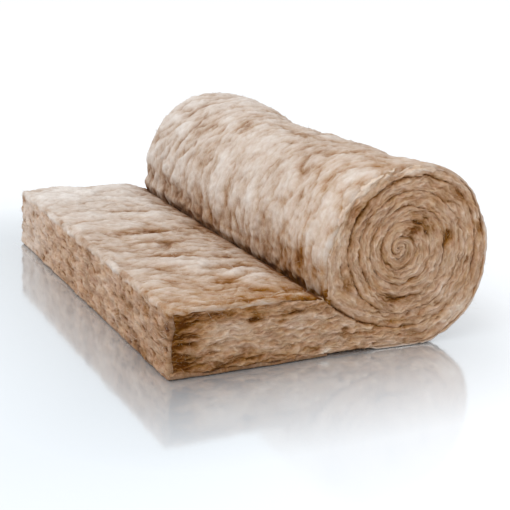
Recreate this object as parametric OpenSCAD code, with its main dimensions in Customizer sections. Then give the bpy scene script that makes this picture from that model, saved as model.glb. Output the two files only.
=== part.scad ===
// Roll of mineral wool insulation, partly unrolled.
// One continuous mat: its free end lies flat on the floor at full thickness, and the
// rest is still wound up, squeezed to a fifth of that thickness.
// +X runs along the mat from its cut end to the roll, +Y along the roll's axis, +Z up.
// The origin is the middle of the whole object's footprint, on the floor.

/* [Mat] */
// Width of the mat, which is also the length of the roll
mat_width = 1140; // [570:10:1400]
// Thickness of the mat where it lies unrolled and has swollen back
mat_thickness = 170; // [130:5:210]
// Length of the flat stretch, from the cut end to below the roll's axis
flat_length = 640; // [500:10:900]
// Radius of the soft shoulder where the flat stretch dips under the roll
shoulder_radius = 400; // [300:5:900]
// Length of that shoulder, measured back from the roll's axis
shoulder_length = 350; // [300:5:490]

/* [Roll] */
// Outer radius of the wound part
roll_radius = 242; // [200:1:300]
// How far the roll's own weight flattens its underside
sag = 11; // [4:1:16]
// Thickness of one squeezed turn inside the roll
turn_pitch = 37.5; // [25:0.5:45]
// How much smaller the seam's first turn is than the roll, measured at the radius
outer_turn = 34; // [25:1:50]
// How far the middle of the seam's first turn lies past the roll's axis, away from the cut end
winding_shift = 13; // [0:1:20]
// How far the middle of the seam's first turn lies above the roll's axis
winding_lift = 23; // [0:1:30]
// How far the innermost turn lies from the roll's axis, back towards the cut end
heart_shift = 27; // [0:1:40]
// How far the innermost turn lies above the roll's axis
heart_lift = 29; // [0:1:40]

/* [Seam] */
// Width of the gap between two turns, seen on the roll's ends
seam_width = 3; // [2:0.5:6]
// Depth of that gap
seam_depth = 10; // [4:1:20]
// Radius at which the winding closes on itself
seam_start_radius = 10; // [6:1:20]

/* [Hidden] */

ROUND = 128;                 // facets of the roll's circle
SHOULDER_STEPS = 24;         // straight pieces along the shoulder
SEAM_STEP = 15;              // degrees between two points of the seam
LEAD_ANGLE = 62;             // degrees over which the mat is pressed down behind the notch
CUT = 1;                     // how far a cutting shape reaches past what it cuts

wool_brown = [0.72, 0.60, 0.50];

// Places along X and Z
total_length = flat_length + roll_radius;
cut_end_x = -total_length / 2;
axis_x = cut_end_x + flat_length;
axis_z = roll_radius - sag;
shoulder_x = axis_x - shoulder_length;

// The seam is a spiral whose middle moves from its first turn's to the innermost turn's.
winding_middle = [axis_x + winding_shift, axis_z + winding_lift];
winding_heart = [axis_x - heart_shift, axis_z + heart_lift];
winding_radius = roll_radius - outer_turn;

// The notch is where the flat stretch's top first touches the roll, and the seam starts.
function shoulder_z(x) =
    mat_thickness - shoulder_radius
    + sqrt(pow(shoulder_radius, 2) - pow(max(0, x - shoulder_x), 2));
function roll_underside_z(x) = axis_z - sqrt(pow(roll_radius, 2) - pow(x - axis_x, 2));
// Halves the stretch that holds the crossing until it is far finer than the model needs.
function crossing_x(low, high, tries) =
    let (middle = (low + high) / 2)
    tries == 0 ? middle
    : roll_underside_z(middle) > shoulder_z(middle) ? crossing_x(middle, high, tries - 1)
    : crossing_x(low, middle, tries - 1);

notch_x = crossing_x(axis_x - roll_radius, axis_x, 30);
notch_z = shoulder_z(notch_x);
notch_radius = norm([notch_x, notch_z] - winding_middle);
notch_angle = atan2(notch_z - winding_middle.y, notch_x - winding_middle.x);

// Radius of the seam after it has wound `turned` degrees on from the notch
function seam_radius(turned) =
    winding_radius - turn_pitch * turned / 360
    + (notch_radius - winding_radius) * pow(max(0, 1 - turned / LEAD_ANGLE), 2);
seam_end = floor((winding_radius - seam_start_radius) / turn_pitch * 360);

function seam_point(turned, offset) =
    let (r = seam_radius(turned) + offset, a = notch_angle + turned, wound = turned / seam_end)
    winding_middle + (winding_heart - winding_middle) * wound + r * [cos(a), sin(a)];

// Draws an outline of the X-Z plane as a solid of the given width, centred on Y.
module across(width) {
    rotate([90, 0, 0]) linear_extrude(height = width, center = true) children();
}

module flat_stretch() {
    across(mat_width) polygon(concat(
        [[cut_end_x, 0], [cut_end_x, mat_thickness]],
        [for (i = [0 : SHOULDER_STEPS])
            let (x = shoulder_x + (notch_x + outer_turn - shoulder_x) * i / SHOULDER_STEPS)
            [x, shoulder_z(x)]],
        [[axis_x, outer_turn], [axis_x, 0]]
    ));
}

module wound_part() {
    difference() {
        translate([axis_x, 0, axis_z]) rotate([90, 0, 0])
            cylinder(h = mat_width, r = roll_radius, center = true, $fn = ROUND);
        // the floor flattens the underside
        translate([axis_x - roll_radius, -mat_width / 2 - CUT, -sag - CUT])
            cube([2 * roll_radius, mat_width + 2 * CUT, sag + CUT]);
    }
}

module seam_gap() {
    turned = [for (a = [0 : SEAM_STEP : seam_end]) a];
    polygon(concat(
        [for (a = turned) seam_point(a, seam_width / 2)],
        [for (i = [len(turned) - 1 : -1 : 0]) seam_point(turned[i], -seam_width / 2)]
    ));
}

module wool_mat() {
    color(wool_brown) difference() {
        union() {
            flat_stretch();
            wound_part();
        }
        for (side = [-1, 1])
            translate([0, side * mat_width / 2, 0]) across(2 * seam_depth) seam_gap();
    }
}

wool_mat();
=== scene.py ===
"""Looks of a partly unrolled roll of mineral wool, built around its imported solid.

The mat is followed by two coordinates: how far along it a point lies from the cut end, and
how far across its thickness. Its pale rolled faces, its brown cut edges and its loose fibres
are all laid out in those two, so strands run along the mat wherever it bends.
"""
import math

import bpy
import numpy as np
from mathutils import Matrix, Vector


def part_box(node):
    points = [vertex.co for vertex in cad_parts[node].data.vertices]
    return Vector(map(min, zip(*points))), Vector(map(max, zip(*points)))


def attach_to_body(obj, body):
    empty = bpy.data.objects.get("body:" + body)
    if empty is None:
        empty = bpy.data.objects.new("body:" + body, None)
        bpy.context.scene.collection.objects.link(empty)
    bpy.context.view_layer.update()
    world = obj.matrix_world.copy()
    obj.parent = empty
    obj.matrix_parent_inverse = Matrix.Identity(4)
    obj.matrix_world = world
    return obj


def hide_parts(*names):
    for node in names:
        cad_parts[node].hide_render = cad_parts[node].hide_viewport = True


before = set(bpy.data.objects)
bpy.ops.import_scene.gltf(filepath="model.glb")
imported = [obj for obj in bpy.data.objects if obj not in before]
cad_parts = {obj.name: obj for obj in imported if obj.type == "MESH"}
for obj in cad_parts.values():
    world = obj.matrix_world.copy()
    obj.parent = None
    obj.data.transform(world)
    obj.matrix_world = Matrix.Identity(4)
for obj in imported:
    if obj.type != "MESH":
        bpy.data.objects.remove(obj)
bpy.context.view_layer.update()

# ---- sizes, in metres

NODE = "wool_mat"
BODY = "root"
LOW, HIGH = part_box(NODE)

MAT_THICKNESS = 0.17
ROLL_RADIUS = 0.242
SHOULDER_RADIUS = 0.4
SHOULDER_LENGTH = 0.35
TURN_PITCH = 0.0375
OUTER_TURN = 0.034
LEAD_ANGLE = 62.0         # degrees over which the mat is pressed down behind the notch
HEART_RADIUS = 0.002      # hole left in the middle of the winding

HALF_WIDTH = (HIGH.y - LOW.y) / 2
UNDERSIDE_Z = 0.0008      # the lowest point of the wool
CUT_END_X = LOW.x
AXIS = np.array([HIGH.x - ROLL_RADIUS, HIGH.z - ROLL_RADIUS])
WINDING_MIDDLE = AXIS + [0.013, 0.023]
WINDING_HEART = AXIS + [-0.027, 0.029]
WINDING_RADIUS = ROLL_RADIUS - OUTER_TURN
SHOULDER_X = AXIS[0] - SHOULDER_LENGTH


# ---- noise

def scatter(i, j, seed):
    """A steady random number from 0 to 1 for each whole-numbered pair."""
    mixed = (i * 374761393 + j * 668265263 + seed * 1274126177) & 0xFFFFFFFF
    mixed = ((mixed ^ (mixed >> 13)) * 1274126177) & 0xFFFFFFFF
    return (mixed ^ (mixed >> 16)) / 2.0 ** 32


def noise(u, v, seed):
    """Smooth noise of about -1 to 1, whose lumps are one unit wide."""
    u, v = np.broadcast_arrays(u, v)
    i, j = np.floor(u).astype(np.int64), np.floor(v).astype(np.int64)
    total = np.zeros(u.shape)
    for corner_i in (i, i + 1):
        for corner_j in (j, j + 1):
            du, dv = u - corner_i, v - corner_j
            turn = 2 * np.pi * scatter(corner_i, corner_j, seed)
            weight_u, weight_v = 1 - np.abs(du), 1 - np.abs(dv)
            fade = weight_u ** 3 * (weight_u * (weight_u * 6 - 15) + 10)
            fade = fade * weight_v ** 3 * (weight_v * (weight_v * 6 - 15) + 10)
            total += fade * (np.cos(turn) * du + np.sin(turn) * dv)
    return total * 1.6


def layered(u, v, seed, octaves=4, rough=0.5):
    """Noise with finer and finer noise on top."""
    total, size, most = 0.0, 1.0, 0.0
    for octave in range(octaves):
        total += size * noise(u * 2.03 ** octave, v * 2.03 ** octave, seed + octave)
        most += size
        size *= rough
    return total / most


def ridges(u, v, seed):
    """Sharp crests at 1 between rounded hollows that go down to about -1."""
    return 1 - 2.4 * np.abs(noise(u, v, seed))


def step(low, high, x):
    """Rises smoothly from 0 at low to 1 at high."""
    t = np.clip((x - low) / (high - low), 0, 1)
    return t * t * (3 - 2 * t)


# ---- the mat's outline, in X and Z

def direction(degrees):
    """The unit vector in X and Z at an angle from +X."""
    angle = np.radians(degrees)
    return np.stack([np.cos(angle), np.sin(angle)], -1)


def unit(vectors):
    return vectors / np.maximum(np.linalg.norm(vectors, axis=-1), 1e-12)[..., None]


def walked(points):
    """How far along a line of points each of them lies."""
    return np.concatenate([[0], np.cumsum(np.linalg.norm(np.diff(points, axis=0), axis=1))])


def shoulder_z(x):
    """Height of the flat stretch's upper face."""
    sunk = np.clip(x - SHOULDER_X, 0, SHOULDER_RADIUS)
    return MAT_THICKNESS - SHOULDER_RADIUS + np.sqrt(SHOULDER_RADIUS ** 2 - sunk ** 2)


def find_notch():
    """Where the flat stretch's upper face first touches the roll."""
    low, high = AXIS[0] - ROLL_RADIUS, AXIS[0]
    for _ in range(30):
        middle = (low + high) / 2
        underside = AXIS[1] - math.sqrt(ROLL_RADIUS ** 2 - (middle - AXIS[0]) ** 2)
        if underside > shoulder_z(middle):
            low = middle
        else:
            high = middle
    return np.array([low, float(shoulder_z(low))])


NOTCH = find_notch()
NOTCH_RADIUS = float(np.linalg.norm(NOTCH - WINDING_MIDDLE))
NOTCH_ANGLE = math.degrees(math.atan2(*(NOTCH - WINDING_MIDDLE)[::-1]))
SEAM_END = 360 * WINDING_RADIUS / TURN_PITCH       # degrees wound when the seam's radius is nothing


def seam_arc(turned):
    """Length of the seam up to a place that many degrees on from the notch."""
    wound = np.radians(np.minimum(turned, SEAM_END))
    return WINDING_RADIUS * wound - TURN_PITCH / (4 * np.pi) * wound ** 2


def seam_point(turned, seed):
    """Where the seam runs between two turns: a spiral that the squeezed wool has made wavy."""
    lead = (NOTCH_RADIUS - WINDING_RADIUS) * np.clip(1 - turned / LEAD_ANGLE, 0, None) ** 2
    arc = seam_arc(turned)
    wave = 0.004 * noise(arc / 0.046, 0.5, seed) + 0.0021 * noise(arc / 0.018, 0.5, seed + 1)
    radius = WINDING_RADIUS - TURN_PITCH * turned / 360 + lead
    radius += wave * step(5, 60, turned) * step(0, 0.03, radius)
    share = np.clip(turned / SEAM_END, 0, 1)[..., None]
    middle = WINDING_MIDDLE + (WINDING_HEART - WINDING_MIDDLE) * share
    return middle + np.maximum(radius, HEART_RADIUS)[..., None] * direction(NOTCH_ANGLE + turned)


def outline_point(turned):
    """Where the ray from the winding's middle leaves the roll, through its side or its underside."""
    ray = direction(NOTCH_ANGLE + turned)
    offset = WINDING_MIDDLE - AXIS
    ahead = ray @ offset
    to_side = -ahead + np.sqrt(ahead ** 2 + ROLL_RADIUS ** 2 - offset @ offset)
    down = np.minimum(ray[..., 1], -1e-6)
    to_floor = np.where(ray[..., 1] < -1e-6, -WINDING_MIDDLE[1] / down, 9.0)
    return WINDING_MIDDLE + np.minimum(to_side, to_floor)[..., None] * ray


# ---- how the roll is out of true

# For the roll's two ends: its radius as a share of the true one, and how proud its upper right is.
NEAR_SHRINK = (0.997, 0.009)
FAR_SHRINK = (0.957, -0.004)
SAG = (-32, 24, 0.009)    # low on its right: direction and half width in degrees, height
UPPER_RIGHT = (55, 26)    # direction and half width of its proud or sunk upper right
LEAN = (0.006, -0.052, 0.048)   # its near end's: metres inwards at the axis, and slopes in X and Z


def bulge(angle, middle, half, height):
    """A smooth outward bulge round one direction, in degrees from +X."""
    return height * np.exp(-(((angle - middle + 180) % 360 - 180) / half) ** 2)


def shrink(points, amount):
    """Draws the wound part in towards the roll's axis, but leaves its underside on the floor.

    It also makes the roll sag outwards, and stand proud or sink in on its upper right.
    """
    smaller, proud = amount
    offset = points - AXIS
    far_out = np.linalg.norm(offset, axis=-1)
    angle = np.degrees(np.arctan2(offset[..., 1], offset[..., 0]))
    out_of_round = bulge(angle, *SAG) + bulge(angle, *UPPER_RIGHT, proud)
    share = np.clip(far_out / ROLL_RADIUS, 0, 1) ** 3 * (points[..., 1] > 0.004)
    offset = offset * (1 + out_of_round * share / np.maximum(far_out, 0.01))[..., None]
    wound = step(NOTCH[0] - 0.02, NOTCH[0] + 0.1, points[..., 0])
    wound = np.maximum(wound, step(0.17, 0.2, points[..., 1]))
    share_x = 1 - (1 - smaller) * wound
    share_z = np.where(offset[..., 1] > 0, share_x, 1)
    return AXIS + offset * np.stack([share_x, share_z], -1)


def end_y(points, side):
    """How far along Y the mat's end lies: the roll's near end leans a little."""
    wound = step(NOTCH[0] - 0.1, NOTCH[0] + 0.08, points[..., 0])
    offset = points - AXIS
    lean = wound * (LEAN[0] + LEAN[1] * offset[..., 0] + LEAN[2] * offset[..., 1])
    if side < 0:
        return -HALF_WIDTH + lean
    return HALF_WIDTH - 0.3 * lean


# ---- relief, in metres
#
# noise(along / length, across / width, seed) has lumps of that length and width, and so have
# the functions made from it. Heights are metres; how brown a place is goes from -1 to 1.

def pillows(u, v, seed):
    """Round lumps at 1 with narrow creases down to about -1 between them."""
    return 2.0 * np.minimum(np.abs(noise(u, v, seed)) * 2.2, 1.0) ** 0.6 - 1.0


def wrinkles(u, v, seed):
    """Thin wandering lines at 1 on a ground of 0."""
    return step(0.12, 0.0, np.abs(noise(u, v, seed)))


def crumbs(u, v, seed):
    """Small lumps of two sizes."""
    return noise(u / 0.02, v / 0.018, seed) + 0.6 * noise(u / 0.01, v / 0.009, seed + 2)


def spots(u, v, places, seed):
    """For each place, a ragged spot that is as brown as it says, and 0 outside it."""
    for place_u, place_v, half_u, half_v, amount in places:
        far = np.hypot((u - place_u) / half_u, (v - place_v) / half_v)
        ragged = 0.3 * noise(u / 0.02, v / 0.014, seed) + 0.35 * noise(u / 0.06, v / 0.04, seed + 1)
        yield amount * step(1.6, 0.1, far + ragged)
        seed += 3


# Brown places on the roll: along the mat, across it, half sizes, and how brown.
ROLL_STAINS = [
    (0.35, -0.34, 0.11, 0.15, 0.27), (0.12, -0.445, 0.07, 0.024, 0.95),
    (0.135, -0.355, 0.07, 0.042, 0.6), (0.2, -0.02, 0.065, 0.014, 0.45),
    (0.16, -0.24, 0.05, 0.06, 0.4), (0.06, 0.3, 0.07, 0.22, 0.5), (0.25, 0.18, 0.05, 0.07, 0.25),
    (0.345, 0.27, 0.035, 0.07, 0.32), (0.4, 0.13, 0.04, 0.07, 0.28),
    (0.47, -0.11, 0.03, 0.055, 0.55), (0.43, 0.32, 0.035, 0.06, 0.2), (0.64, -0.22, 0.09, 0.07, 0.1),
    (0.605, -0.085, 0.016, 0.04, 0.8), (0.59, -0.19, 0.012, 0.022, 0.65),
    (0.8, 0.25, 0.08, 0.09, 0.24), (0.95, -0.1, 0.07, 0.12, 0.28),
]
# Brown places on the flat stretch: X, Y, half sizes, and how brown.
FLAT_STAINS = [
    (-0.23, 0.25, 0.09, 0.03, 0.45), (-0.225, 0.045, 0.095, 0.028, 0.55),
    (-0.26, -0.18, 0.1, 0.028, 0.45), (-0.22, -0.4, 0.045, 0.02, 0.48),
    (-0.11, -0.27, 0.06, 0.06, 0.5), (-0.25, -0.06, 0.06, 0.018, 0.45),
    (-0.1, 0.1, 0.05, 0.08, 0.35), (-0.37, 0.33, 0.04, 0.07, 0.2), (-0.33, -0.27, 0.055, 0.022, 0.4),
    (-0.15, -0.5, 0.12, 0.06, 0.15),
]


def stains(u, v, places, seed):
    """How brown a rolled face is at each point, from 0 to 1."""
    total = 0.0
    for brown in spots(u, v, places, seed):
        total = np.maximum(total, brown)
    return total


# Where the roll's top sinks in, in slanting dips: across the mat, half width and depth.
TOP_DIPS = [
    (-0.15, 0.4, 0.014), (-0.055, 0.04, 0.006), (-0.31, 0.06, 0.007),
    (0.03, 0.05, 0.008), (0.19, 0.11, 0.017), (0.5, 0.08, -0.01),
]
DIP_SLANT = 1.1
DIP_MIDDLE = 0.65         # how far round the roll a dip is at its place across the mat


def warmth(across, skin):
    """How yellow the wool is: cream at the near end, greyer at the far one and where it is torn."""
    along_skin = 1.0 * step(-0.2, -0.55, across) - 0.5 * step(0.05, 0.5, across)
    return along_skin * skin - 0.3 * (1 - skin)


def roll_relief(along, across):
    """Lumps, folds and brown places of the roll's rolled face, with painted shade by the crevice and
    in its grooves and wrinkles. The folds run round it.
    """
    slanted = across - DIP_SLANT * (along - DIP_MIDDLE)
    sunk = sum(depth * np.exp(-((slanted - place) / half) ** 2) for place, half, depth in TOP_DIPS)
    on_top = step(0.36, 0.56, along) * step(0.9, 0.72, along)
    lumps = 0.006 * layered(along / 0.22, across / 0.15, 101, 3) - sunk * on_top

    crowded = step(0.0, 0.35, across)               # the far half has more and narrower folds
    bent = across + 0.5 * crowded * (along - 0.25) + 0.03 * noise(along / 0.15, across / 0.13, 111)
    bent += 0.01 * noise(along / 0.05, across / 0.05, 112)
    folds = pillows(along / 0.12, bent / (0.09 - 0.02 * crowded), 121)
    creases = noise(along / 0.05, bent / 0.03, 131)
    strands = noise(along / 0.024, bent / 0.011, 135)
    grooves = step(0.25, 0.8, noise(along / 0.16, bent / 0.036, 137)) * crowded
    lines = wrinkles(along / 0.09, bent / 0.05, 133)
    strength = 0.65 + 0.4 * noise(along / 0.22, across / 0.15, 141) + 0.25 * crowded
    fine = (0.0036 * folds + 0.0028 * creases) * np.clip(strength, 0.2, 1.3)
    fine += 0.0009 * strands + 0.0019 * crumbs(along, across, 136) - 0.0024 * grooves

    brown = 0.8 * stains(along, across, ROLL_STAINS, 150) + 0.06 * step(0.0, 0.45, across)
    # the wool beside the crevice is darker: painted shade, partly the wool's own brown there
    from_notch = along + 0.018 * noise(across / 0.05, along / 0.05, 160)
    crevice_brown_and_shade = 0.48 * step(0.2, 0.075, from_notch) + 0.4 * step(0.066, 0.056, from_notch)
    brown = np.maximum(brown, crevice_brown_and_shade) - 0.12 * step(-0.44, -0.55, across) * step(0.1, 0.25, along)
    # grooves and wrinkles are painted darker: painted shade in them
    brown = np.maximum(brown, 0.26 * grooves) + 0.07 * lines
    return lumps, fine - 0.004 * brown - 0.001 * lines, brown


def flat_relief(along, across):
    """Folds and brown places of the flat stretch's upper face, with painted shade by the crevice and
    in its wrinkles. The folds run along the mat.
    """
    lumps = 0.006 * layered(along / 0.22, across / 0.2, 201, 3)
    bent = across + 0.1 * along + 0.034 * noise(along / 0.17, across / 0.12, 211)
    bent += 0.01 * noise(along / 0.06, across / 0.04, 212)
    folds = pillows(along / 0.22, bent / 0.115, 221)
    creases = noise(along / 0.09, bent / 0.036, 231)
    strands = noise(along / 0.04, bent / 0.012, 235)
    lines = wrinkles(along / 0.12, bent / 0.046, 233)
    strength = np.clip(0.8 + 0.5 * noise(along / 0.2, across / 0.2, 241), 0.3, 1.2)
    fine = (0.004 * folds + 0.0036 * creases) * strength
    fine += 0.0017 * strands + 0.0017 * crumbs(along, across, 236)

    # darker towards the crevice: painted shade, partly the wool's own brown there
    to_notch = along + 0.012 * noise(across / 0.05, along / 0.03, 260) - NOTCH[0]
    crevice_brown_and_shade = 0.35 * step(-0.1, -0.04, to_notch) + 0.6 * step(-0.034, -0.014, to_notch)
    brown = np.maximum(stains(along, across, FLAT_STAINS, 250), crevice_brown_and_shade) + 0.1
    brown -= 0.25 * step(0.0, 0.45, across)
    ragged = across + 0.03 * noise(along / 0.07, across / 0.05, 270)
    brown += 0.24 * step(-0.34, -0.53, ragged)
    # wrinkles are painted darker: painted shade in them
    return lumps, fine - 0.005 * brown - 0.0018 * lines, brown + 0.15 * lines


def torn_relief(across, up):
    """The free cut end, torn across the strands: clumps, short flat strands and pits, with painted
    shade in the pits and near the floor, and painted light towards the far side.
    """
    bent = up + 0.008 * noise(across / 0.06, up / 0.04, 301)
    clumps = 0.0065 * layered(across / 0.06, up / 0.03, 311, 3)
    layers = noise(across / 0.05, bent / 0.016, 321)
    strands = noise(across / 0.018, bent / 0.008, 331)
    grains = noise(across / 0.0085, bent / 0.007, 335)
    pits = step(0.42, 0.85, noise(across / 0.036, bent / 0.0115, 341))
    small_pits = 0.8 * step(0.42, 0.8, noise(across / 0.016, bent / 0.008, 345))
    large_pits = 0.7 * step(0.35, 0.9, noise(across / 0.075, bent / 0.022, 347))
    pits = np.maximum(np.maximum(pits, small_pits), large_pits)
    fine = 0.0018 * layers + 0.0016 * strands + 0.0014 * grains - 0.0034 * pits

    brown = 0.12 + 0.6 * layered(across / 0.09, up / 0.045, 351, 3)
    # paler towards the far side and browner towards the near one: painted light on this end
    brown = brown - 0.35 * step(0.1, 0.56, across) + 0.3 * step(-0.2, -0.55, across)
    # pits and the lowest part are painted darker: painted shade in the pits and near the floor
    brown += 0.58 * pits * step(0.165, 0.145, up) + 0.2 * step(0.06, 0.01, up)
    return clumps, fine, np.clip(brown, -0.9, 1)


# Places on the mat's near edge: X, Z, half sizes, and how brown, or how pale below zero.
EDGE_STAINS = [
    (-0.295, 0.088, 0.085, 0.046, -0.55), (-0.13, 0.104, 0.07, 0.022, -0.25),
    (-0.225, 0.124, 0.022, 0.007, 1.00), (-0.152, 0.112, 0.014, 0.006, 0.8),
    (-0.115, 0.128, 0.035, 0.007, 0.7), (-0.016, 0.02, 0.016, 0.014, -1.00),
    (0.315, 0.285, 0.014, 0.022, 1.00), (0.235, 0.322, 0.045, 0.03, 0.6),
    (0.212, 0.295, 0.018, 0.02, 0.6), (0.412, 0.3, 0.013, 0.03, 0.8),
    (0.396, 0.326, 0.01, 0.01, -0.9), (0.05, 0.352, 0.05, 0.03, 0.5), (0.32, 0.38, 0.05, 0.022, 0.4),
    (0.17, 0.13, 0.06, 0.016, 0.55), (0.2, 0.075, 0.09, 0.012, 0.4), (0.035, 0.18, 0.016, 0.05, 0.5),
    (0.37, 0.08, 0.08, 0.06, -0.45), (0.235, 0.03, 0.045, 0.01, 0.55),
    (0.01, 0.29, 0.02, 0.06, -0.25), (0.29, 0.2, 0.06, 0.05, -0.2),
]


def edge_stain_and_shade(x, z, strata, seed):
    """How brown the near cut edge is, with painted shade at its left corner, under the skin's lip
    and near the floor, and its pale part under the roll.
    """
    # painted shade at the edge's left corner
    corner = step(-0.325, -0.385, x + 0.02 * noise(z / 0.03, x / 0.05, seed))
    corner = corner * (0.8 - 0.6 * strata) * step(0.005, 0.03, z)
    # painted shade under the skin's lip
    under_lip_shade = step(0.024, 0.01, np.abs(shoulder_z(x) - 0.024 - z)) * step(0.03, -0.06, x) * 0.45
    # painted shade near the floor
    low = step(0.06, 0.025, z) * step(0.03, -0.08, x) * (0.42 - 0.35 * strata)
    total = np.maximum(np.maximum(corner, under_lip_shade), low) + 0.22 * step(-0.1, -0.25, x)
    return np.clip(sum(spots(x, z, EDGE_STAINS, seed), total), -1, 1)


def edge_relief(along, across, seed):
    """A cut edge of the mat, across its thickness: wavy layers that run along the mat."""
    bent = across + 0.0066 * noise(along / 0.055, across / 0.03, seed + 1)
    bent += 0.0042 * noise(along / 0.018, across / 0.016, seed + 2)
    layers = noise(along / 0.075, bent / 0.0125, seed + 3)
    strands = noise(along / 0.022, bent / 0.0064, seed + 4)
    grains = noise(along / 0.0095, bent / 0.0056, seed + 8)
    clumps = layered(along / 0.075, across / 0.045, seed + 5, 3)
    pits = step(0.55, 0.9, noise(along / 0.045, bent / 0.011, seed + 6))
    crests = step(0.3, 1.0, ridges(along / 0.055, bent / 0.0125, seed + 9))
    fine = 0.0022 * layers + 0.0018 * strands + 0.0012 * grains + 0.0028 * crests - 0.005 * pits
    return 0.0035 * clumps, fine, layers


# ---- meshes

def put(name, data):
    """Adds an object with this data to the scene."""
    thing = bpy.data.objects.new(name, data)
    bpy.context.scene.collection.objects.link(thing)
    return thing


def make_piece(name, points, faces, values, material):
    """Makes a smooth-shaded piece. values are numbers that the material reads at each point."""
    mesh = bpy.data.meshes.new(name)
    mesh.from_pydata(points.reshape(-1, 3).tolist(), [], faces)
    for key, numbers in values.items():
        is_vector = numbers.size == points.size
        kind, field = ("FLOAT_VECTOR", "vector") if is_vector else ("FLOAT", "value")
        mesh.attributes.new(key, kind, "POINT").data.foreach_set(field, numbers.ravel())
    mesh.polygons.foreach_set("use_smooth", [True] * len(faces))
    mesh.materials.append(material)
    return put(name, mesh)


def attach(piece):
    """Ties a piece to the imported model."""
    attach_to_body(piece, BODY)
    return piece


def inward_normals(loop):
    """Unit vectors that point into a closed outline, whose points run clockwise seen from -Y."""
    ahead = np.roll(loop, -1, 0) - np.roll(loop, 1, 0)
    return unit(np.stack([ahead[:, 1], -ahead[:, 0]], -1))


ROW = 0.0042              # distance between two rows of points on the rolled faces
CURL_STEPS = 5            # rows of points round a curl
CAP_DEPTH = 0.02          # how deep inside the mat's end a sleeve is closed
CAP_INSET = 0.024         # and how far in from its outline
RIM_DEPTH = 0.022         # how far from the mat's ends the skin may hardly sink in
RIM_SINK = 0.0035         # and how much it may do so
SINK_SLOPE = 0.6          # how fast that grows further from the end


def sleeve_rows(loop, curl, lip, hidden, side):
    """Rows of a sleeve's end from its closing cap out to where its curl starts.

    Each row is how far along Y, how far in from the outline, and how much rolled face it shows.
    """
    end = end_y(loop, side) - side * hidden
    plain = np.ones(len(loop))
    depth = end.max() + CAP_DEPTH if side < 0 else end.min() - CAP_DEPTH
    rows = [(plain * depth, plain * CAP_INSET, 0 * plain)]
    rows.append((end - side * 0.5 * CAP_DEPTH, curl + lip + 0.001, 0 * plain))
    rows.append((end - side * 0.004, curl + lip, 0 * plain))
    for share in (0.75, 0.35):
        rows.append((end - side * 0.001 * share, curl + lip * share, (1 - 0.8 * share) * plain))
    for turn in range(CURL_STEPS):
        angle = math.pi / 2 * (1 - turn / CURL_STEPS)
        y = end - side * curl * (1 - math.sin(angle))
        rows.append((y, curl * (1 - math.cos(angle)), (1 - 0.1 * math.sin(angle) ** 4) * plain))
    return rows


def sleeve(name, loop, along, curls, lips, room, hidden, relief, skin, material):
    """A closed skin round an outline, from one end of the mat to the other.

    curls and lips are how far it rounds over and lies on the near and the far end, at each
    point of the outline. relief(along, across) gives lumps, fine relief and how brown it is;
    skin is 1 on a rolled face and 0 on a cut one; room is the most that the outline may be
    drawn in, and hidden is how far inside the mat's end the sleeve stays.
    """
    near = sleeve_rows(loop, curls[0], lips[0], hidden, -1)
    far = sleeve_rows(loop, curls[1], lips[1], hidden, 1)
    start = end_y(loop, -1) + hidden + curls[0]
    stop = end_y(loop, 1) - hidden - curls[1]
    count = int(round(2 * HALF_WIDTH / ROW))
    plain = np.ones(len(loop))
    body = [(start + (stop - start) * i / count, 0 * plain, plain) for i in range(count + 1)]
    rows = near + body + far[::-1]
    y, inset, shown = (np.array([row[place] for row in rows]) for place in range(3))
    inset = np.minimum(inset, room)

    side = np.where(np.arange(len(rows)) < len(near) + count / 2, -1.0, 1.0)[:, None]
    across = y + side * inset                       # the relief goes on round the curl
    lumps, fine, brown = relief(along, across)
    raised = np.clip(1 - inset / 0.03, 0, 1) * (shown > 0) * (lumps + fine)
    points = sleeve_points(loop, y, inset, raised)
    values = sleeve_values(along, across, lumps, fine, shown, skin)
    # real stains together with painted shade
    values["stain_and_shade"] = brown
    return make_piece(name, points, tube_faces(len(rows), len(loop)), values, material)


def sleeve_points(loop, y, inset, raised):
    """Points of a sleeve, row by row: drawn in from the outline, and raised from there."""
    from_near = y - end_y(loop, -1)
    share = np.clip(from_near / (2 * HALF_WIDTH), 0, 1)[..., None]
    true = np.broadcast_to(loop, y.shape + (2,))
    drawn = shrink(true, NEAR_SHRINK) * (1 - share) + shrink(true, FAR_SHRINK) * share
    depth = np.minimum(from_near, end_y(loop, 1) - y)
    lowest = -RIM_SINK - SINK_SLOPE * np.clip(depth - RIM_DEPTH, 0, None)    # keeps the rims full
    flat = drawn + inward_normals(loop) * (inset - np.maximum(raised, lowest))[..., None]
    z = np.maximum(flat[..., 1], UNDERSIDE_Z)
    return np.stack([flat[..., 0], y, z], -1)


def sleeve_values(along, across, lumps, fine, shown, skin):
    """What the material reads at a sleeve's points, apart from its stains and painted shade."""
    rag = 0.5 * noise(along / 0.02, across / 0.03, 77)
    ragged = np.clip(skin + 0.8 * rag * (1 - np.abs(2 * skin - 1)), 0, 1)
    on_curl = step(0.05, 0.95, shown + 0.7 * rag * (shown < 0.999))
    # cut faces get the paler skin colour towards the far side: painted light
    far_and_torn = 0.5 * step(0.15, 0.55, across) * (skin < 1)
    height = 0.5 + fine / 0.012 + np.clip(lumps, -0.006, 0.008) / 0.04
    return {
        "height": np.clip(height, 0, 1),
        "torn": np.clip(1 - skin + 0 * across, 0, 1),
        "skin": np.maximum(ragged * on_curl, far_and_torn),
        "tone": layered(along / 0.11, across / 0.09, 71, 3),
        "warm": warmth(across, skin),
        "flow": np.stack([along + 0 * across, across, 0 * across], -1),
    }


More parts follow.
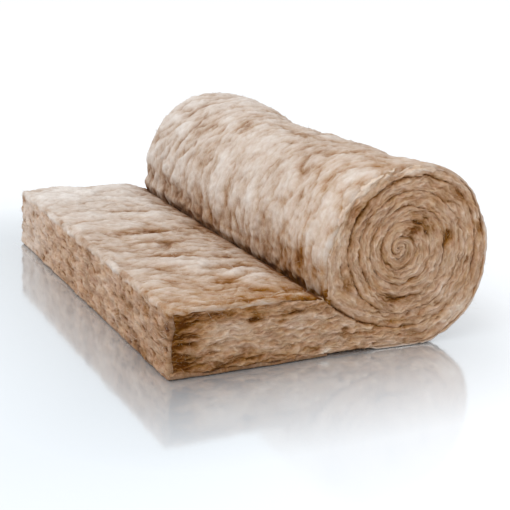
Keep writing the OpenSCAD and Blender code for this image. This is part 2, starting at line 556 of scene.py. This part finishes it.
def tube_faces(rows, around):
    """Quads of a tube whose rows run along +Y, and a face that closes each end."""
    row, place = np.meshgrid(np.arange(rows - 1), np.arange(around), indexing="ij")
    after = (place + 1) % around
    quads = np.stack([row * around + place, row * around + after,
                      (row + 1) * around + after, (row + 1) * around + place], -1)
    faces = quads.reshape(-1, 4).tolist()
    faces.append(list(range(around))[::-1])
    faces.append(list(range((rows - 1) * around, rows * around)))
    return faces


# ---- the wound part's rolled face

SKIN_START = 212.0        # degrees from +X at which the roll's skin starts, in the notch
SKIN_SHOWN = -82.0        # down to here it shows
SKIN_STOP = -148.0        # and here it ends, under the roll
UPPER_LEFT = direction(130)


def rolled_face(material):
    """The outside of the roll, from the notch up over its top and down to the floor."""
    degrees = np.arange(SKIN_START, SKIN_SHOWN, -math.degrees(ROW / ROLL_RADIUS))
    degrees = np.concatenate([degrees, np.linspace(SKIN_SHOWN, SKIN_STOP, 12)[:-1]])
    out = direction(degrees)
    loop = AXIS + ROLL_RADIUS * out
    loop[:, 1] = np.maximum(loop[:, 1], 0)
    along = ROLL_RADIUS * np.radians(SKIN_START - degrees)
    # the skin curls over the roll's ends, most of all on the upper left
    leftward = np.clip((loop - AXIS) @ UPPER_LEFT / ROLL_RADIUS, 0, 1) ** 1.3
    ragged = noise(along / 0.06, 0.5, 151)
    near_curl = 0.005 + 0.009 * leftward + 0.0015 * ragged
    far_curl = 0.01 + 0.016 * leftward + 0.002 * ragged
    near_lip = 0.003 + 0.009 * leftward + 0.003 * noise(along / 0.025, 0.5, 152)
    far_lip = 0.006 + 0.003 * noise(along / 0.025, 0.5, 153)
    lips = (np.maximum(near_lip, 0.002), np.maximum(far_lip, 0.002))
    # it stays inside where it comes down to the floor, and in the notch
    left = out[:, 0] < -0.6
    hidden = 0.004 * step(0.05, 0.0, out[:, 1] * ROLL_RADIUS + AXIS[1]) * ~left
    hidden += 0.01 * step(-0.2, -0.7, out[:, 1]) * left
    return sleeve("rolled_face", loop, along, (near_curl, far_curl), lips, CAP_INSET, hidden,
                  roll_relief, np.ones(len(loop)), material)


# ---- the flat stretch

CORNER = 0.009            # radius of the cut end's soft corners
CORNER_POINTS = 5         # on each of them
UNDER_STEP = 0.008        # distance between two points of the underside
END_STEP = 0.003          # and between two points of the cut end

# The faces of the flat stretch's outline, in order. The last two lie below the roll.
UNDER, LOW_CORNER, CUT_END, HIGH_CORNER, TOP, BEND, INSIDE = range(7)


def corner_points(z, from_degrees):
    """A quarter of a circle, clockwise, at the cut end."""
    degrees = np.linspace(from_degrees, from_degrees - 90, CORNER_POINTS)
    return [CUT_END_X + CORNER, z] + CORNER * direction(degrees)


def flat_outline():
    """The flat stretch's outline, clockwise from below the roll, and which face each point is on."""
    under_x = np.arange(AXIS[0] - 0.004, CUT_END_X + CORNER, -UNDER_STEP)
    under = np.stack([under_x, 0 * under_x], -1)
    end_z = np.arange(CORNER + END_STEP, MAT_THICKNESS - CORNER, END_STEP)
    end = np.stack([0 * end_z + CUT_END_X, end_z], -1)
    top_x = np.arange(CUT_END_X + CORNER + ROW, NOTCH[0] - 0.012, ROW)
    top = np.stack([top_x, shoulder_z(top_x)], -1)
    bend = NOTCH + np.array([[-0.008, 0.001], [-0.004, -0.003], [-0.001, -0.009], [0.001, -0.017],
                             [0.004, -0.026], [0.01, -0.036], [0.018, -0.046], [0.03, -0.058]])
    inside = np.array([[AXIS[0] - 0.13, 0.07], [AXIS[0] - 0.07, 0.05], [AXIS[0], 0.034]])
    parts = [under, corner_points(CORNER, -90), end, corner_points(MAT_THICKNESS - CORNER, 180),
             top, bend, inside]
    face = np.concatenate([np.full(len(part), place) for place, part in enumerate(parts)])
    return np.concatenate(parts), face


def flat_stretch(material):
    """The unrolled stretch: its upper face, its torn cut end and its underside."""
    loop, face = flat_outline()
    x, z = loop.T
    along = walked(loop)
    along -= along[face == TOP][0]
    is_top = (face >= TOP) * 1.0
    is_end = step(0.008, -0.002, along) * step(0, 0.008, z) * (face > UNDER) * (face <= HIGH_CORNER)
    settle = 1 - 0.8 * step(NOTCH[0] - 0.06, NOTCH[0] - 0.01, x)
    weight_top = is_top * (0.4 + 0.6 * step(0.0, 0.012, along)) * settle

    def relief(_, across):
        top_lumps, top_fine, top_brown = flat_relief(x, across)
        end_lumps, end_fine, end_brown = torn_relief(across, z)
        lumps = weight_top * top_lumps + is_end * end_lumps
        fine = weight_top * top_fine + is_end * end_fine
        return lumps, fine, is_top * top_brown + (1 - is_top) * end_brown

    # the skin curls over the mat's ends less and less towards the notch
    loose = 1 - 0.8 * step(NOTCH[0] - 0.03, NOTCH[0] - 0.006, x) * is_top
    curl = (0.008 + 0.004 * noise(along / 0.05, 0.5, 251)) * loose
    lip = np.maximum(0.004 + 0.006 * noise(along / 0.03, 0.5, 252), 0.001) * loose
    # below the roll the sleeve is thin, and it stays inside the mat's ends
    thin = np.clip((AXIS[0] - x) / 0.2, 0, 1)
    room = np.where(face == INSIDE, 0.008 + 0.012 * thin, CAP_INSET)
    room = np.where((face == UNDER) & (x > NOTCH[0] + 0.05), 0.008 + 0.014 * thin, room)
    hidden = 0.014 * step(NOTCH[1] - 0.001, NOTCH[1] - 0.014, z) * (face >= BEND)
    hidden = np.where((face == UNDER) & (x > NOTCH[0] + 0.02), 0.012, hidden)
    skin = np.where(face >= TOP, 1.0, step(MAT_THICKNESS - 0.022, MAT_THICKNESS - 0.008, z))
    return sleeve("flat_stretch", loop, along, (curl, curl), (lip, lip), room, hidden, relief,
                  skin * (face >= CUT_END), material)


# ---- the mat's two edges

EDGE_STEP = 0.0022        # distance between two points on a cut edge
EDGE_BACK = 0.022         # how deep an edge's solid goes into the mat
EDGE_INSET = 0.007        # how far an edge stays inside the rolled faces
RIM_DIP = 0.006           # how deep it dives down beside them
GAP_HALF = 0.0034         # half width of the gap between two turns
DARK_HALF = 0.0048        # and of the painted shade in it
SEAM_SHADE = 0.62         # how dark that painted shade is
PALE_RIM = -0.3           # and how pale next to the rolled faces
EDGE_WARMTH = 0.38        # how yellow its wool is


def mat_columns(spacing, seed):
    """Follows the mat from its cut end to its heart, in columns across its thickness.

    Gives each column's point on the outer and the inner face, how many degrees it is wound,
    and whether it is on the flat stretch.
    """
    x = np.arange(CUT_END_X + EDGE_INSET, NOTCH[0], spacing)
    turned = [0.0]
    last = SEAM_END + 325
    while turned[-1] < last:
        now = turned[-1]
        radius = max(WINDING_RADIUS - TURN_PITCH * (now - 180) / 360, 0.016)
        turned.append(now + math.degrees(spacing / radius))
    turned = np.array(turned)
    seam = seam_point(turned, seed)
    inner = np.concatenate([np.stack([x, shoulder_z(x)], -1), seam])
    wound = np.concatenate([x * 0, turned])
    upright = (NOTCH_ANGLE + turned < -90)[:, None]
    floor_below = np.stack([seam[:, 0], 0 * turned], -1)
    turn_before = seam_point(turned - 360, seed)
    outer = np.where((turned < 360)[:, None], outline_point(turned), turn_before)
    outer = np.where(upright, floor_below, outer)
    outer = np.concatenate([np.stack([x, 0 * x], -1), outer])
    flat = np.arange(len(inner)) < len(x)
    rim = (wound < 360) | flat
    # the outer border stays under the rolled faces, and so does the flat part's inner one
    gap = inner - outer
    thick = np.linalg.norm(gap, axis=1)[:, None]
    outer += gap / thick * np.where(rim, EDGE_INSET, 0)[:, None]
    tucked = np.where(flat, EDGE_INSET, 0) * step(NOTCH[0], NOTCH[0] - 0.05, inner[:, 0])
    inner = inner - gap / thick * tucked[:, None]
    return outer, inner, wound, flat


def seam_depth(turned):
    """How deep the gap between two turns is, which changes along it."""
    arc = seam_arc(turned)
    depth = 0.001 + 0.0036 * noise(arc / 0.09, 0.5, 61) + 0.0028 * noise(arc / 0.025, 0.5, 62)
    depth += 0.002 * step(420, 100, turned) + 0.011 * step(40, 0, turned)
    return np.clip(depth, 0.0002, 0.014)


def rows_across(thick, spacing):
    """How many steps each column has: their number is halved where the mat gets thinner."""
    most = int(2 ** round(math.log2(MAT_THICKNESS / spacing / 9))) * 9
    rows = np.full(len(thick), most)
    for _ in range(3):
        rows = np.where(thick / rows < 0.62 * spacing, np.maximum(rows // 2, 18), rows)
    return np.minimum.accumulate(rows)


def near_line(distance, half):
    """1 on a line, fading to nothing about two half widths away."""
    return np.exp(-(distance / half) ** 2)


def edge_surface(outer, inner, along, turned, flat, count, side, seed):
    """Points of some columns of a cut edge, and what the material reads at them."""
    share = np.linspace(0, 1, count + 1)
    where = outer[:, None] * (1 - share)[:, None] + inner[:, None] * share[:, None]
    deep = np.linalg.norm(inner - outer, axis=1)[:, None]
    to_outer, to_inner = share * deep, deep - share * deep
    squeezed = to_outer * np.clip(0.04 / deep, 1, 3) ** 0.3
    lumps, fine, strata = edge_relief(along, squeezed, seed + 10)
    brown = edge_stain_and_shade(where[..., 0], where[..., 1], strata, seed + 50)

    rim = (turned < 360) | flat
    gap_outer = np.where(rim, RIM_DIP, seam_depth(turned - 360))
    gap_inner = np.where(flat, RIM_DIP, seam_depth(turned))
    dive = gap_outer * near_line(to_outer, GAP_HALF) + gap_inner * near_line(to_inner, GAP_HALF)
    dive += 0.0045 * np.clip(brown, 0, 1) ** 2
    where = shrink(where, NEAR_SHRINK if side < 0 else FAR_SHRINK)
    y = end_y(where, side) + side * (lumps + fine - dive)

    upper_left = (where - AXIS) @ UPPER_LEFT / ROLL_RADIUS
    pale = PALE_RIM * (0.4 + 3.0 * step(0.3, 0.8, upper_left)) * ~flat
    shade_outer = np.where(rim, pale, SEAM_SHADE * np.clip(gap_outer / 0.004, 0.25, 1))
    shade_inner = np.where(flat, PALE_RIM, SEAM_SHADE * np.clip(gap_inner / 0.004, 0.25, 1))
    # the gaps between turns are painted darker, the more the deeper they are: painted shade; beside
    # the rolled faces the rim is paler
    seams = shade_outer * near_line(to_outer, np.where(rim, 0.018, DARK_HALF))
    seams += shade_inner * near_line(to_inner, np.where(flat, 0.012, DARK_HALF))
    # height is lowered in the gaps, which the material paints darker: painted shade
    values = {"height": np.clip(0.5 + (fine - 0.5 * dive) / 0.01, 0, 1),
              "stain_and_shade": np.clip(brown + seams, -1, 1),
              "tone": layered(along / 0.1, squeezed / 0.06, seed + 31, 3)}
    values = {key: numbers.ravel() for key, numbers in values.items()}
    values["flow"] = np.stack([along + 0 * y, to_outer, 0 * y], -1).reshape(-1, 3)
    return np.stack([where[..., 0], y, where[..., 1]], -1).reshape(-1, 3), values


def cut_edge(name, side, seed, spacing, material):
    """One of the mat's long cut edges: a strip that follows the mat into its winding."""
    outer, inner, wound, flat = mat_columns(spacing, seed)
    along = walked((outer + inner) / 2)
    rows = rows_across(np.linalg.norm(inner - outer, axis=1), spacing)

    points, faces, parts = [], [], []
    first, base = [], 0                             # each column's first point
    for block in np.split(np.arange(len(rows)), np.flatnonzero(np.diff(rows)) + 1):
        count = int(rows[block[0]])
        columns = [numbers[block][:, None] for numbers in (along, wound, flat)]
        surface, values = edge_surface(outer[block], inner[block], *columns, count, side, seed)
        points.append(surface)
        parts.append(values)
        starts = base + np.arange(len(block)) * (count + 1)
        if first:
            faces += stitch(first[-1], starts[0], count)
        i, j = np.meshgrid(starts[:-1], np.arange(count), indexing="ij")
        quads = np.stack([i + j, i + j + count + 1, i + j + count + 2, i + j + 1], -1)
        faces += quads.reshape(-1, 4).tolist()
        first.extend(starts.tolist())
        base += len(surface)

    front = np.concatenate(points)
    low = np.array(first)
    high = low + rows
    back = np.concatenate([front[low], front[high]])
    back[:, 1] = end_y(back[:, [0, 2]], side) - side * EDGE_BACK
    faces += strip_back(low, high, base, len(rows))
    if side > 0:
        faces = [face[::-1] for face in faces]
    every = np.concatenate([front, back])
    values = {"skin": np.zeros(len(every)), "torn": np.zeros(len(every)),
              "warm": np.full(len(every), EDGE_WARMTH)}
    for key in parts[0]:
        hidden = np.zeros((len(back),) + parts[0][key].shape[1:])
        values[key] = np.concatenate([part[key] for part in parts] + [hidden])
    return make_piece(name, every, faces, values, material)


def stitch(coarse_before, start, count):
    """Joins a column of twice as many points to the next one, which starts at start."""
    faces = []
    for j in range(count):
        a, b = coarse_before + 2 * j, start + j
        faces += [[a, b, a + 1], [a + 1, b, b + 1], [a + 1, b + 1, a + 2]]
    return faces


def strip_back(low, high, base, count):
    """Closes a strip behind its front: both sides, the back and the two blunt ends."""
    low, high = low.tolist(), high.tolist()
    faces = []
    for i in range(count - 1):
        a, b = base + i, base + i + 1
        c, d = a + count, b + count
        faces += [[low[i], a, b, low[i + 1]], [high[i + 1], d, c, high[i]], [a, c, d, b]]
    faces.append(list(range(low[0], high[0] + 1)) + [base + count, base])
    last = list(range(low[-1], high[-1] + 1)) + [base + 2 * count - 1, base + count - 1]
    faces.append(last[::-1])
    return faces


# ---- loose fibres

FIBRE_RADIUS = 0.0003
FIBRE_SIDES = 3
FIBRE_RINGS = [0.0, 0.3, 0.65, 1.0]     # where a strand has rings, in shares of its length


def face_frames(piece):
    """Middle, normal, direction along the mat and area of every four-sided face of a piece."""
    mesh = piece.data
    points = np.empty(len(mesh.vertices) * 3)
    mesh.vertices.foreach_get("co", points)
    points = points.reshape(-1, 3)
    corners = np.array([list(face.vertices) for face in mesh.polygons if len(face.vertices) == 4])
    a, b, c, d = (points[corners[:, place]] for place in range(4))
    normal = np.cross(c - a, d - b)
    area = np.linalg.norm(normal, axis=1) / 2
    return (a + b + c + d) / 4, unit(normal), unit(b - a + c - d), area


def stray_fibres(name, piece, chosen, count, seed, length, lift, wander, material):
    """Thin closed strands that stand out of a piece's faces and bend back towards them.

    chosen(middle, normal) says which faces send strands out. lift is how far these stand up
    from the mat's direction, and wander how far they stray from it.
    """
    rng = np.random.default_rng(seed)
    middle, normal, along, area = face_frames(piece)
    weight = area * chosen(middle, normal)
    pick = rng.choice(len(middle), count, p=weight / weight.sum())
    root, out, way = middle[pick], normal[pick], along[pick]
    way = way * rng.choice([-1.0, 1.0], count)[:, None]
    loose = rng.normal(size=(count, 3))
    start = unit(way + wander * loose + out * (lift * rng.uniform(0.2, 1.6, count))[:, None])
    reach = (length * rng.uniform(0.35, 1.5, count))[:, None]
    turn = 0.45 * rng.normal(size=(count, 3)) - 0.35 * lift * out
    rings = []
    upright = unit(np.cross(start, out + 0.01))
    sideways = np.cross(start, upright)
    thick = FIBRE_RADIUS * rng.uniform(0.6, 1.3, count)[:, None]
    for share in FIBRE_RINGS:
        centre = root - 0.0012 * out + reach * (start * share + turn * share ** 2)
        for corner in range(FIBRE_SIDES):
            angle = 2 * math.pi * corner / FIBRE_SIDES
            ring = math.cos(angle) * upright + math.sin(angle) * sideways
            rings.append(centre + ring * thick * (1 - 0.55 * share))
    points = np.stack(rings, 1)
    points[..., 2] = np.maximum(points[..., 2], UNDERSIDE_Z / 2)
    last = FIBRE_SIDES * (len(FIBRE_RINGS) - 1)
    shape = [[2, 1, 0]]
    for ring in range(0, last, FIBRE_SIDES):
        for corner in range(FIBRE_SIDES):
            a, b = ring + corner, ring + (corner + 1) % FIBRE_SIDES
            shape.append([a, b, b + FIBRE_SIDES, a + FIBRE_SIDES])
    shape.append([last, last + 1, last + 2])
    each = points.shape[1]
    faces = [[corner + i * each for corner in face] for i in range(count) for face in shape]
    shade = np.repeat(rng.uniform(-1, 1, count), each)
    return make_piece(name, points, faces, {"tone": shade}, material)


# ---- materials

class Nodes:
    """Short ways to add nodes to a new material."""

    def __init__(self, name):
        self.material = bpy.data.materials.new(name)
        self.material.use_nodes = True
        self.tree = self.material.node_tree
        self.tree.nodes.clear()

    def add(self, kind, links=None, **settings):
        node = self.tree.nodes.new("ShaderNode" + kind)
        for key, value in settings.items():
            setattr(node, key, value)
        for key, value in (links or {}).items():
            if isinstance(value, bpy.types.NodeSocket):
                self.tree.links.new(value, node.inputs[key])
            else:
                node.inputs[key].default_value = value
        return node

    def value(self, name):
        return self.add("Attribute", attribute_name=name).outputs["Fac"]

    def vector(self, name):
        return self.add("Attribute", attribute_name=name).outputs["Vector"]

    def maths(self, how, first, second, third=0.0):
        return self.add("Math", {0: first, 1: second, 2: third}, operation=how).outputs[0]

    def total(self, base, *shares):
        """Adds up (socket, weight, usual value) triples to base, which is what usual values give."""
        result = base - sum(weight * usual for _, weight, usual in shares)
        for socket, weight, _ in shares:
            result = self.maths("MULTIPLY_ADD", socket, weight, result)
        return result

    def streaks(self, flow, along, across, detail, rough, distort=0.0):
        """Noise whose grain is along metres long and across metres wide."""
        scaled = self.add("VectorMath", {0: flow, 1: (1 / along, 1 / across, 1 / across)},
                          operation="MULTIPLY").outputs[0]
        noise_node = self.add("TexNoise", {"Vector": scaled, "Scale": 1.0, "Detail": detail,
                                           "Roughness": rough, "Distortion": distort})
        return noise_node.outputs[0]

    def grain(self, flow, turned, torn, *sizes):
        """Streaks along the mat, or along its torn end where torn is 1."""
        straight, crossed = self.streaks(flow, *sizes), self.streaks(turned, *sizes)
        change = self.maths("SUBTRACT", crossed, straight)
        return self.maths("MULTIPLY_ADD", change, torn, straight)

    def ramp(self, factor, stops):
        node = self.add("ValToRGB", {"Fac": factor})
        stop_list = node.color_ramp.elements
        while len(stop_list) < len(stops):
            stop_list.new(0.5)
        for element, (place, colour) in zip(stop_list, stops):
            element.position = place
            element.color = (*colour, 1)
        return node.outputs["Color"]

    def mix(self, factor, first, second):
        return self.add("Mix", {0: factor, 6: first, 7: second}, data_type="RGBA").outputs[2]

    def finish(self, shader):
        self.add("OutputMaterial", {"Surface": shader})
        return self.material


SKIN_RAMP = [(0.00, (0.11, 0.044, 0.014)), (0.18, (0.25, 0.14, 0.072)),
             (0.36, (0.41, 0.295, 0.21)), (0.55, (0.545, 0.45, 0.375)),
             (0.76, (0.64, 0.572, 0.515)), (1.00, (0.76, 0.71, 0.665))]
CUT_RAMP = [(0.00, (0.095, 0.036, 0.01)), (0.25, (0.26, 0.14, 0.066)),
            (0.5, (0.448, 0.29, 0.182)), (0.75, (0.6, 0.44, 0.318)),
            (1.00, (0.73, 0.62, 0.51))]


def wool_material():
    """Mineral wool: pale and felted on the rolled faces, brown and fibrous where it is cut."""
    n = Nodes("wool")
    flow = n.vector("flow")
    height, tone, skin = n.value("height"), n.value("tone"), n.value("skin")
    stain_and_shade, torn, warm = n.value("stain_and_shade"), n.value("torn"), n.value("warm")
    split = n.add("SeparateXYZ", {0: flow}).outputs
    turned = n.add("CombineXYZ", {0: split[1], 1: split[0], 2: 3.7}).outputs[0]
    strand = n.grain(flow, turned, torn, 0.022, 0.004, 5.0, 0.62, 1.0)
    hair = n.grain(flow, turned, torn, 0.01, 0.0014, 4.0, 0.7, 1.0)
    clump = n.grain(flow, turned, torn, 0.05, 0.018, 4.0, 0.6, 0.3)
    speck = n.streaks(flow, 0.004, 0.0026, 3.0, 0.7)
    blot = n.streaks(flow, 0.03, 0.022, 4.0, 0.6, 0.6)

    # height paints the crests paler and the hollows darker: painted shade in the hollows; the stain
    # value holds real stains and painted shade
    skin_shade = n.total(0.562, (height, 0.54, 0.5), (tone, 0.12, 0), (strand, 0.24, 0.5),
                         (clump, 0.26, 0.5), (blot, 0.38, 0.5), (hair, 0.14, 0.5),
                         (speck, 0.32, 0.5), (stain_and_shade, -0.42, 0))
    cut_shade = n.total(0.524, (height, 0.56, 0.5), (tone, 0.13, 0), (strand, 0.48, 0.5),
                        (clump, 0.42, 0.5), (hair, 0.22, 0.5), (speck, 0.28, 0.5),
                        (stain_and_shade, -0.38, 0))
    both = n.mix(skin, n.ramp(cut_shade, CUT_RAMP), n.ramp(skin_shade, SKIN_RAMP))
    tint = n.grain(flow, turned, torn, 0.035, 0.014, 3.0, 0.6, 0.5)
    depth = n.streaks(flow, 0.06, 0.03, 2.0, 0.5, 0.5)
    hue = n.total(0.496, (tint, 0.03, 0.5), (speck, 0.03, 0.5))
    strength = n.total(1.0, (depth, 0.45, 0.5), (stain_and_shade, 0.1, 0), (warm, 0.24, 0))
    colour = n.add("HueSaturation", {"Hue": hue, "Saturation": strength, "Color": both}).outputs[0]

    relief = n.total(0.0, (strand, 0.0016, 0), (hair, 0.0008, 0), (speck, 0.0008, 0))
    bump = n.add("Bump", {"Strength": 1.0, "Distance": 1.0, "Height": relief})
    rough = n.maths("MULTIPLY_ADD", hair, 0.12, 0.86)
    shader = n.add("BsdfPrincipled", {"Base Color": colour, "Roughness": rough,
                                      "Normal": bump.outputs[0], "Specular IOR Level": 0.06,
                                      "Sheen Weight": 0.03, "Sheen Roughness": 0.6})
    return n.finish(shader.outputs[0])


def fibre_material(name, dark, pale):
    """Loose fibres, whose shade changes from strand to strand."""
    n = Nodes(name)
    tone = n.maths("MULTIPLY_ADD", n.value("tone"), 0.5, 0.5)
    place = n.add("TexCoord").outputs["Object"]
    patch = n.add("TexNoise", {"Vector": place, "Scale": 40.0, "Detail": 2.0}).outputs[0]
    shade = n.total(0.5, (tone, 0.7, 0.5), (patch, 0.3, 0.5))
    colour = n.ramp(shade, [(0.1, dark), (0.9, pale)])
    shader = n.add("BsdfPrincipled", {"Base Color": colour, "Roughness": 0.8,
                                      "Specular IOR Level": 0.2, "Sheen Weight": 0.1})
    return n.finish(shader.outputs[0])


def floor_material():
    """A pale floor, polished where the wool stands on it and dull further away, and painted darker
    near the wool and towards -X: painted shade.
    """
    n = Nodes("pale_floor")
    place = n.add("TexCoord").outputs["Object"]
    stop = NOTCH[0] + 0.3                          # about where the roll leaves the floor
    middle = ((LOW.x + stop) / 2, 0, 0)
    half = ((stop - LOW.x) / 2, HALF_WIDTH, 1.0)
    offset = place
    for how, other in (("SUBTRACT", middle), ("ABSOLUTE", (0, 0, 0)), ("SUBTRACT", half),
                       ("MAXIMUM", (0, 0, 0))):
        offset = n.add("VectorMath", {0: offset, 1: other}, operation=how).outputs[0]
    away = n.add("VectorMath", {0: offset}, operation="LENGTH").outputs["Value"]
    polish = n.add("MapRange", {"Value": away, "From Min": 0.0, "From Max": POLISH_REACH,
                                "To Min": 0.7, "To Max": 0.0}).outputs[0]
    patch = n.add("TexNoise", {"Vector": place, "Scale": 1.2, "Detail": 2.0}).outputs[0]
    sideways = n.add("SeparateXYZ", {0: place}).outputs[0]
    # darker near the wool and towards -X: painted shade on the floor
    shade = n.total(0.0, (away, 1 / DIM_REACH, 0), (patch, 0.12, 0.5), (sideways, 0.9, 0))
    colour = n.ramp(shade, [(0.0, (0.74, 0.79, 0.838)), (1.0, (0.9, 0.94, 0.985))])
    shader = n.add("BsdfPrincipled", {"Base Color": colour, "Roughness": 0.1, "IOR": 1.5,
                                      "Metallic": polish})
    return n.finish(shader.outputs[0])


# ---- stage, light and camera

FLOOR_Z = -0.001
POLISH_REACH = 0.42       # metres from the wool at which the floor has turned dull
DIM_REACH = 0.6           # and at which its painted shade near the wool has faded out
ROOM_LIGHT = 0.93
WINDOW_LIGHT = 1.3
WINDOW_WIDTH = math.radians(60)
WINDOW_WAY = Vector((0.66, 0.1, -0.74))            # the way its light goes
SENSOR = 36.0             # millimetres
LENS = 77.555             # millimetres
CAMERA_PLACE = (-1.39267, -2.6637, 1.02318)
CAMERA_YAW = math.radians(28.962)         # from +Y towards +X
CAMERA_PITCH = math.radians(17.177)       # down
CAMERA_ROLL = math.radians(3.524)


def make_floor():
    half = 30.0
    mesh = bpy.data.meshes.new("floor")
    corners = [(-half, -half, 0), (half, -half, 0), (half, half, 0), (-half, half, 0)]
    mesh.from_pydata(corners, [], [(0, 1, 2, 3)])
    mesh.materials.append(floor_material())
    floor = put("floor", mesh)
    floor.location = (0, 0, FLOOR_Z)


def make_light():
    world = bpy.data.worlds.new("studio")
    world.use_nodes = True
    sky = world.node_tree.nodes["Background"].inputs
    sky["Color"].default_value = (1, 1, 1, 1)
    sky["Strength"].default_value = ROOM_LIGHT
    bpy.context.scene.world = world
    lamp = bpy.data.lights.new("window", "SUN")
    lamp.energy = WINDOW_LIGHT
    lamp.angle = WINDOW_WIDTH
    lamp.color = (1.0, 0.995, 0.985)
    lit = put("window", lamp)
    lit.rotation_mode = "QUATERNION"
    lit.rotation_quaternion = WINDOW_WAY.to_track_quat("-Z", "Y")


def make_camera():
    yaw, pitch, roll = CAMERA_YAW, CAMERA_PITCH, CAMERA_ROLL
    forward = Vector((math.sin(yaw) * math.cos(pitch), math.cos(yaw) * math.cos(pitch),
                      -math.sin(pitch)))
    level = forward.cross(Vector((0, 0, 1))).normalized()
    upward = level.cross(forward)
    right = math.cos(roll) * level + math.sin(roll) * upward
    top = math.cos(roll) * upward - math.sin(roll) * level
    data = bpy.data.cameras.new("camera")
    data.sensor_width = SENSOR
    data.lens = LENS
    camera = put("camera", data)
    turned = Matrix((right, top, -forward)).transposed()
    camera.matrix_world = Matrix.Translation(CAMERA_PLACE) @ turned.to_4x4()
    bpy.context.scene.camera = camera


# ---- the whole scene

make_camera()
make_light()
make_floor()
bpy.context.scene.view_settings.view_transform = "Standard"

wool = wool_material()
pale = fibre_material("pale_fibre", (0.42, 0.3, 0.2), (0.8, 0.74, 0.66))
brown = fibre_material("brown_fibre", (0.22, 0.11, 0.045), (0.62, 0.46, 0.31))
roll_piece = rolled_face(wool)
flat_piece = flat_stretch(wool)
near_piece = cut_edge("near_edge", -1, 400, EDGE_STEP, wool)
far_piece = cut_edge("far_edge", 1, 500, 1.5 * EDGE_STEP, wool)
for piece in (roll_piece, flat_piece, near_piece, far_piece):
    attach(piece)
    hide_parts(NODE)


def near_notch(middle, reach):
    return np.hypot(middle[:, 0] - NOTCH[0], middle[:, 2] - NOTCH[1]) < reach


def outside(middle, normal):
    """Faces that can be seen: not on the underside and not folded inside the mat."""
    shell = np.abs(middle[:, 1]) < HALF_WIDTH - 0.01
    return shell * (normal[:, 2] > -0.75) * (middle[:, 2] > 0.004) * ~near_notch(middle, 0.045)


def rims(middle, normal):
    """Faces of the rolled skin close to the mat's two long edges."""
    rim = (np.abs(middle[:, 1]) > HALF_WIDTH - 0.03) * (np.abs(normal[:, 1]) < 0.9)
    return rim * (middle[:, 2] > 0.01) * ~near_notch(middle, 0.03)


def front_of(side):
    """Faces of a cut edge that look out of the mat's end."""
    return lambda middle, normal: normal[:, 1] * side > 0.5


# Each set's piece, faces, number of strands, seed, length, lift, wander and material.
fibre_sets = [
    ("roll_fibres", roll_piece, outside, 4200, 11, 0.012, 0.28, 0.35, pale),
    ("flat_fibres", flat_piece, outside, 3000, 12, 0.012, 0.28, 0.35, pale),
    ("near_fibres", near_piece, front_of(-1), 5200, 13, 0.01, 0.5, 0.45, brown),
    ("far_fibres", far_piece, front_of(1), 2600, 14, 0.01, 0.5, 0.45, brown),
    ("roll_rim_fibres", roll_piece, rims, 1800, 15, 0.011, 0.45, 0.6, pale),
    ("flat_rim_fibres", flat_piece, rims, 1200, 16, 0.011, 0.45, 0.6, pale),
]
for fibre_set in fibre_sets:
    attach(stray_fibres(*fibre_set))
